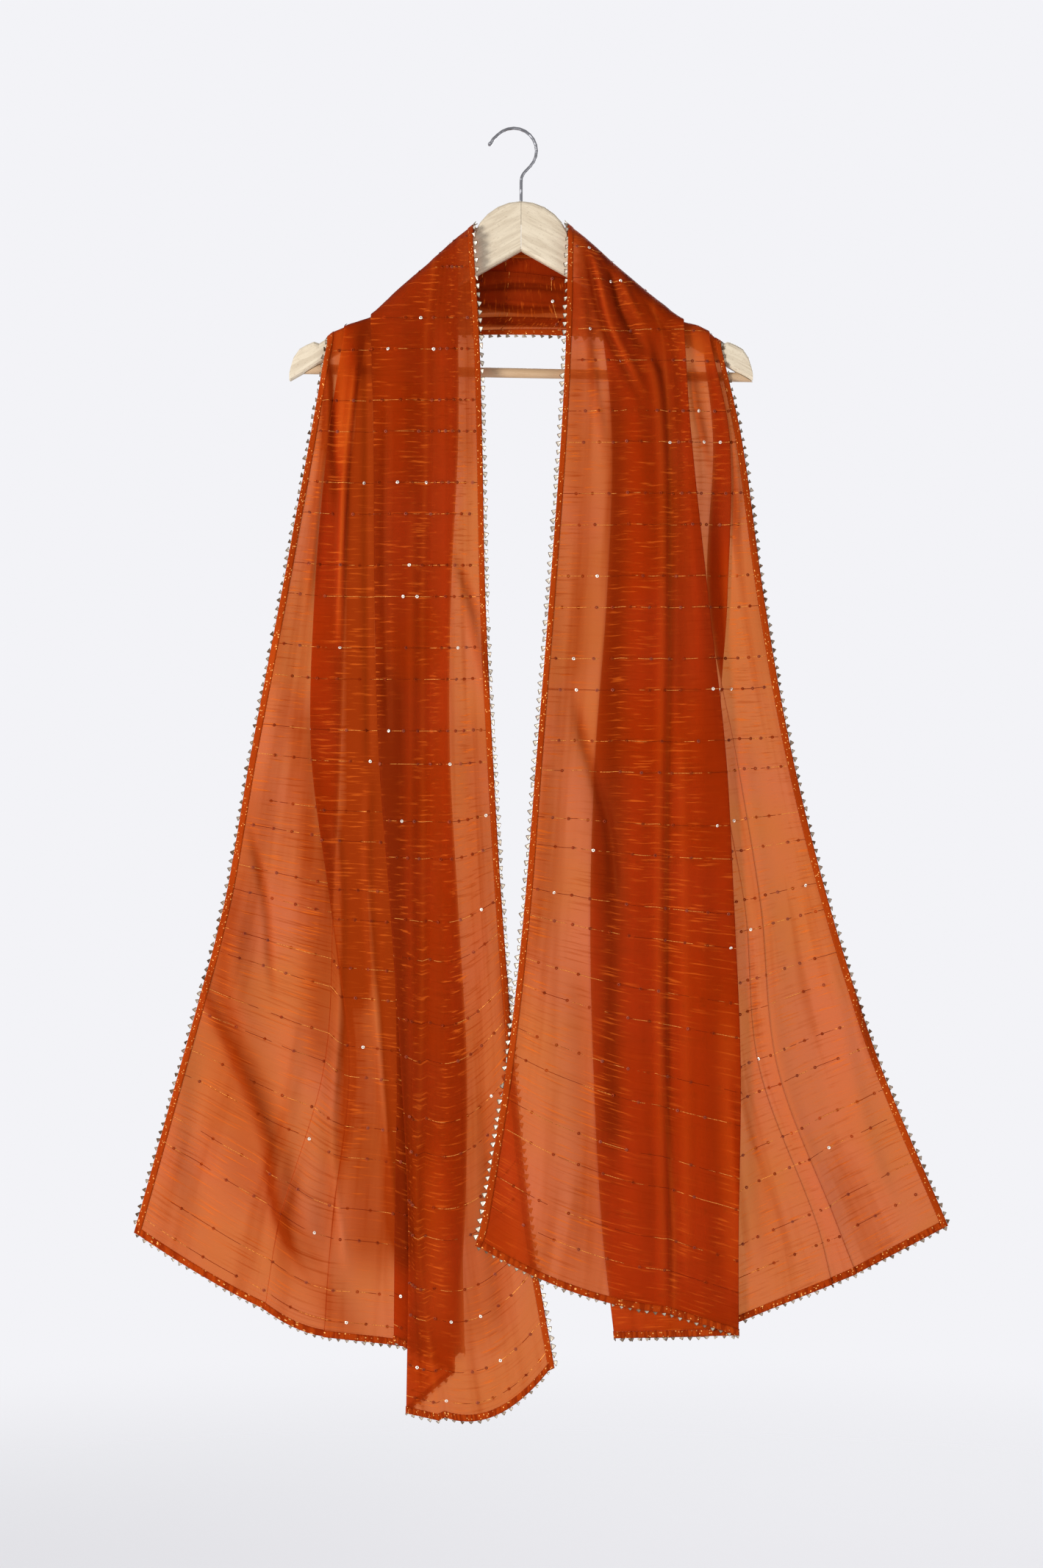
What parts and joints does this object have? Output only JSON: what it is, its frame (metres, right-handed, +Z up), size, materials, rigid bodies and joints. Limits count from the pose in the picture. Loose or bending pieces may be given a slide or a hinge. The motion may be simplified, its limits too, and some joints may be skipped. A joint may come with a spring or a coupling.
{
  "type": "dupatta stole on wooden coat hanger",
  "caption": "Sheer bordered dupatta stole hung in pleats over a wooden coat hanger, swagged behind the neck, with two long falls in front.",
  "frame": {"origin": "inner crown of the hanger's hook, where a rail carries it", "axes": "+Z up, -Y towards the front, where the two falls hang, +X to the wearer's left as seen from the front"},
  "size_m": [0.7848, 0.0429, 1.2474],
  "materials": {
    "stole_cloth": "sheer rust chiffon with lurex thread and sequins",
    "binding_cloth": "folded chiffon binding with gold flecks",
    "picot_lace": "metallic gold thread picots",
    "hanger_wood": "satin lacquered pale beech",
    "hook_metal": "polished wire"
  },
  "bodies": {
    "root": {"stole_left_fall": "stole_cloth", "stole_neck": "stole_cloth", "stole_right_fall": "stole_cloth", "binding_left_inner": "binding_cloth", "binding_left_outer": "binding_cloth", "binding_left_hem": "binding_cloth", "binding_right_inner": "binding_cloth", "binding_right_outer": "binding_cloth", "binding_right_hem": "binding_cloth", "binding_neck_upper": "binding_cloth", "binding_neck_lower": "binding_cloth", "lace_left_inner": "picot_lace", "lace_left_outer": "picot_lace", "lace_left_hem": "picot_lace", "lace_right_inner": "picot_lace", "lace_right_outer": "picot_lace", "lace_right_hem": "picot_lace", "lace_neck_upper": "picot_lace", "lace_neck_lower": "picot_lace", "hanger_arm_left": "hanger_wood", "hanger_arm_right": "hanger_wood", "hanger_bar": "hanger_wood", "hanger_hook": "hook_metal"}
  },
  "joints": []
}
